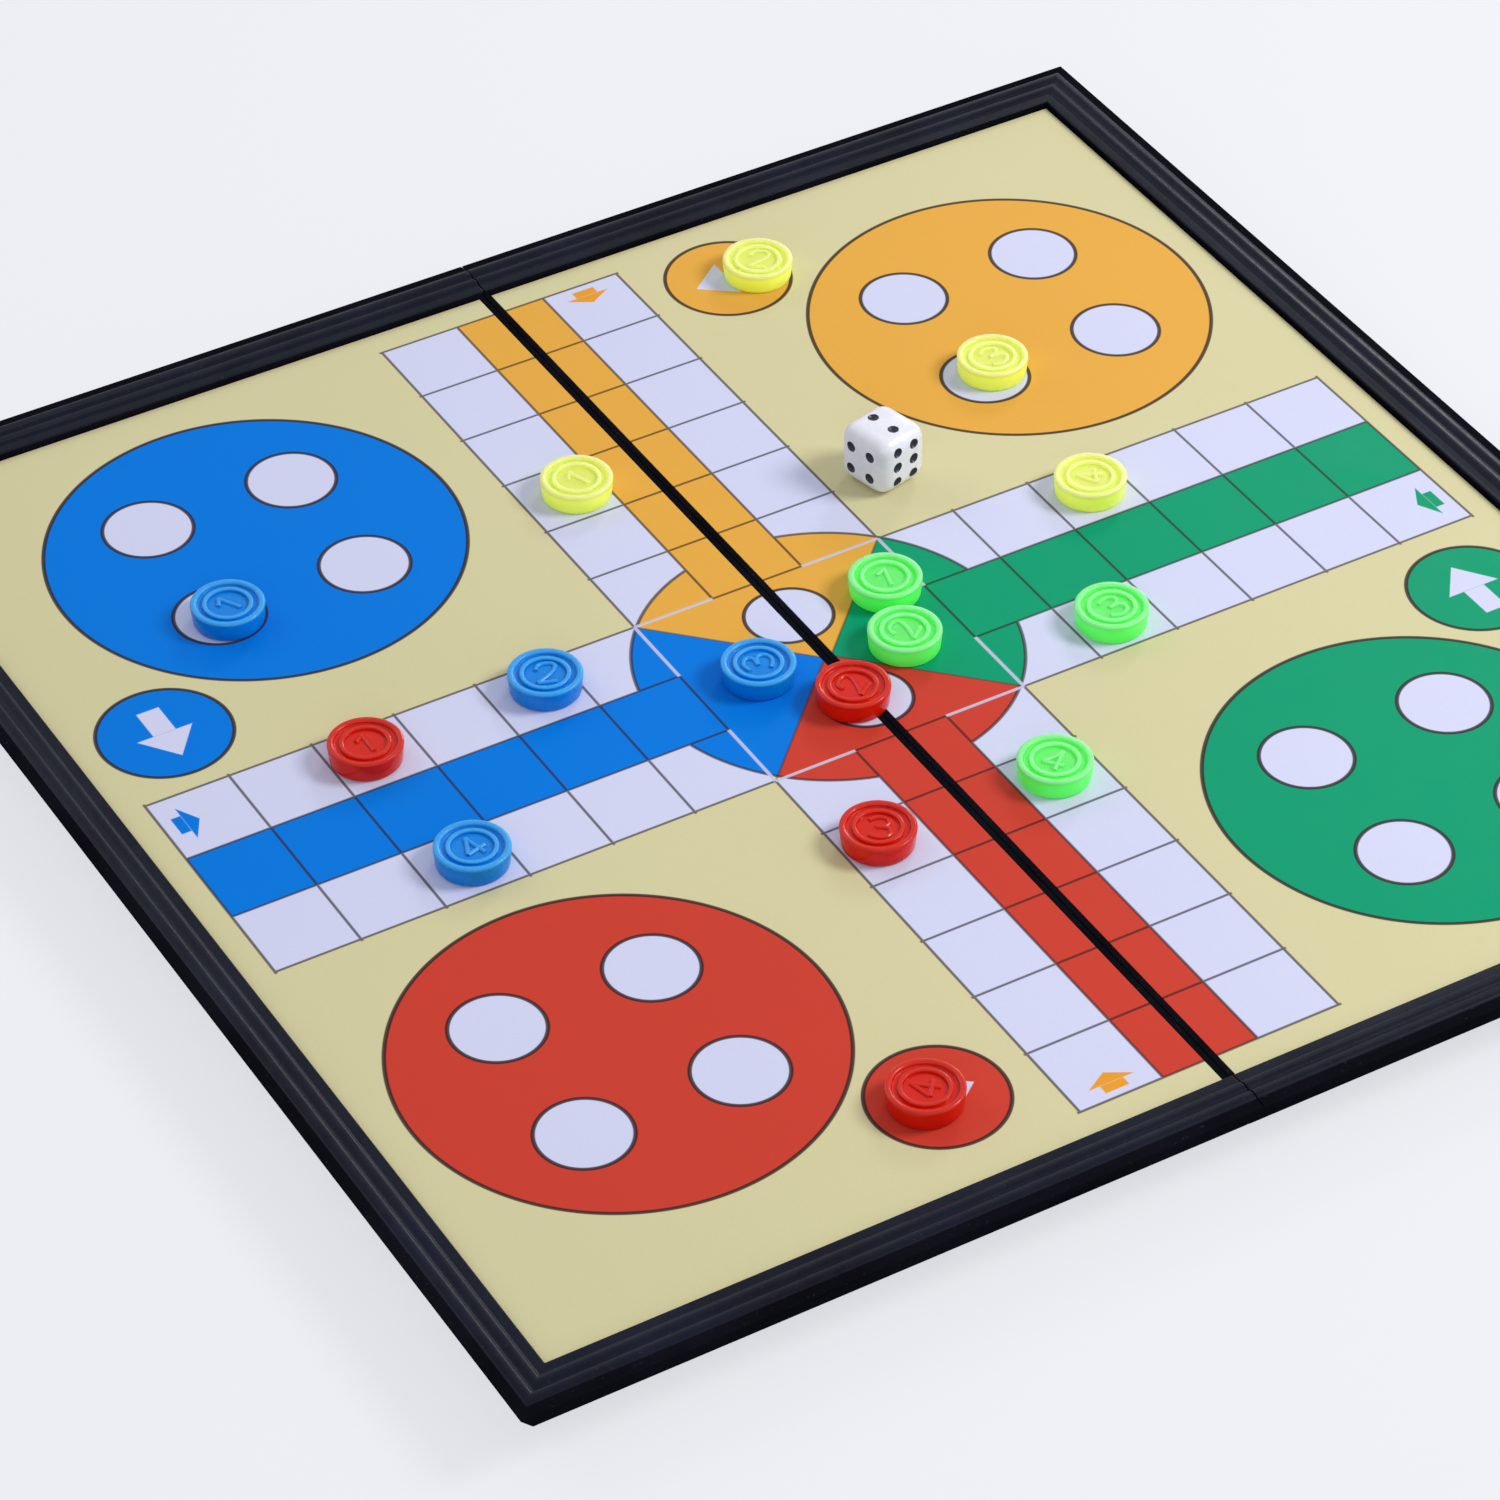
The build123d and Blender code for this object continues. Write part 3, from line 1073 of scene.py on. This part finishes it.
def paintCase(piece, finishes):
    # walls in the first finish, the frame's top in the second, what shows inside the box in the third, whose
    # lighter tones are painted light
    paint(piece, *finishes)
    land = case["halfSide"] - case["outerLand"]
    for face in piece.data.polygons:
        at = face.center / mm
        out = max(abs(at.x), abs(at.y))
        onFrame = case["frameInner"] < out < land and at.z > case["deckTop"]
        if onFrame and face.normal.z > case["glossSlope"]:
            face.material_index = 1
        elif out < case["rimOuter"] and at.z < case["deckBottom"] + case["trayBand"]:
            face.material_index = 2


caseFinishes = [casePlastic(name) for name in ("wallMatte", "frameGloss", "trayPaintedLight")]
paintCase(leftHalf, caseFinishes)
paintCase(rightHalf, caseFinishes)
for colour, pieces in counterPieces.items():
    plastic = counterPlastic(colour)
    for piece in pieces:
        paint(piece, plastic)
paint(diePiece, dieWhite(), pipPaint())
for face, painted in zip(diePiece.data.polygons, diePainted):
    face.material_index = 1 if painted else 0
# the sheets, plates, pins and magnets stay in the solids' own shape
nodeFinishes = {
    "_sheet": printedSheet(),
    "_plate": metal("rolledSteel"),
    "_pin": metal("pinSteel"),
    "_magnet": metal("ferrite"),
}
for name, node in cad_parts.items():
    for kind, finish in nodeFinishes.items():
        if kind in name:
            paint(node, finish)
print("finishes made")


studio = {
    "floorHalf": 3.0,
    "backdrop": tint(238, 240, 245),
    "floorColour": tint(241, 243, 246),
    "floorShade": tint(200, 200, 205),
    "floorGrain": (900, 3),
    "floorGrainShade": 0.02,
    "shown": 0.78,             # how much of the floor's brightness doesn't wait for the lamps
    "fade": (0.45, 1.5),       # metres from the middle over which the lamps' share goes
    "foldStrip": 0.6,          # the floor this near the fold stays dark in the gap between the halves
    "sky": 0.48,
    "skyColour": tint(244, 246, 252),
    "lamps": [
        # name, place, aimed at and size in metres, power in watts, colour
        ("keyLamp", (0.62, -0.3, 0.62), (0, 0, 0), 0.3, 5.2, (1.0, 0.985, 0.97)),
        ("backLamp", (-0.7, 1.6, 1.2), (0, 0, 0), 1.2, 6, (0.93, 0.96, 1.0)),
        ("fillLamp", (-0.9, -1.3, 0.7), (0, 0, 0), 1.0, 4, (0.98, 0.99, 1.0)),
        ("glintLamp", (0.99, 0.89, 0.68), (0, 0, 0), 0.3, 3.5, (1.0, 1.0, 1.0)),
    ],
}


def makeFloor():
    clearPick()
    half = studio["floorHalf"]
    bpy.ops.mesh.primitive_plane_add(size=2 * half, location=(0, 0, 0))
    floor = takeNew("floor")
    finish = Finish("floorPaper")
    here = finish.here()
    seen = finish.seen()
    grain = finish.noise(here, *studio["floorGrain"]) * studio["floorGrainShade"]
    colour = finish.mix(grain, studio["floorColour"], studio["floorShade"])
    lit = finish.add("ShaderNodeBsdfDiffuse", None, {"Color": colour})
    glow = finish.add("ShaderNodeEmission", None, {"Color": studio["backdrop"], "Strength": 1.0})
    away = finish.vector("LENGTH", here)
    near, far = studio["fade"]
    share = finish.add("ShaderNodeMapRange", {"interpolation_type": "SMOOTHSTEP"}, {
        "Value": away, "From Min": near, "From Max": far, "To Min": studio["shown"], "To Max": 1.0})
    aside = abs(finish.add("ShaderNodeSeparateXYZ", None, {0: here}).out("X"))
    gap = (1 - aside.over(studio["foldStrip"] * mm)) * (1 - away.over(case["wallInner"] * mm))
    both = finish.add("ShaderNodeMixShader", None, {0: seen * share * (1 - gap), 1: lit, 2: glow})
    finish.add("ShaderNodeOutputMaterial", None, {"Surface": both})
    paint(floor, finish.material)


def makeSky():
    world = bpy.data.worlds.new("studioSky")
    bpy.context.scene.world = world
    sky = Finish(world)
    seen = sky.seen()
    dim = sky.add("ShaderNodeBackground", None, {"Color": studio["skyColour"], "Strength": studio["sky"]})
    shown = sky.add("ShaderNodeBackground", None, {"Color": studio["backdrop"], "Strength": 1.0})
    both = sky.add("ShaderNodeMixShader", None, {0: seen, 1: dim, 2: shown})
    sky.add("ShaderNodeOutputWorld", None, {"Surface": both})


def makeLamp(name, place, target, size, power, colour):
    clearPick()
    turn = (Vector(target) - Vector(place)).to_track_quat("-Z", "Y").to_euler()
    bpy.ops.object.light_add(type="AREA", location=place, rotation=turn)
    lamp = bpy.context.active_object
    lamp.name = name
    lamp.data.size = size
    lamp.data.energy = power
    lamp.data.color = colour


camera = {
    "place": (-0.38692, -0.63817, 0.61010),  # metres
    "turn": (50.216, 0.202, -30.420),        # degrees
    "lens": 141.752,
    "sensor": 36.0,
    "near": 0.02,
    "far": 20,
}


def makeCamera():
    clearPick()
    turn = [math.radians(angle) for angle in camera["turn"]]
    bpy.ops.object.camera_add(location=camera["place"], rotation=turn)
    eye = bpy.context.active_object
    eye.name = "camera"
    eye.data.lens = camera["lens"]
    eye.data.sensor_width = camera["sensor"]
    eye.data.clip_start = camera["near"]
    eye.data.clip_end = camera["far"]
    bpy.context.scene.camera = eye


makeFloor()
makeSky()
for lamp in studio["lamps"]:
    makeLamp(*lamp)
makeCamera()
bpy.context.scene.view_settings.view_transform = "Standard"
print("studio made")

clearPick()
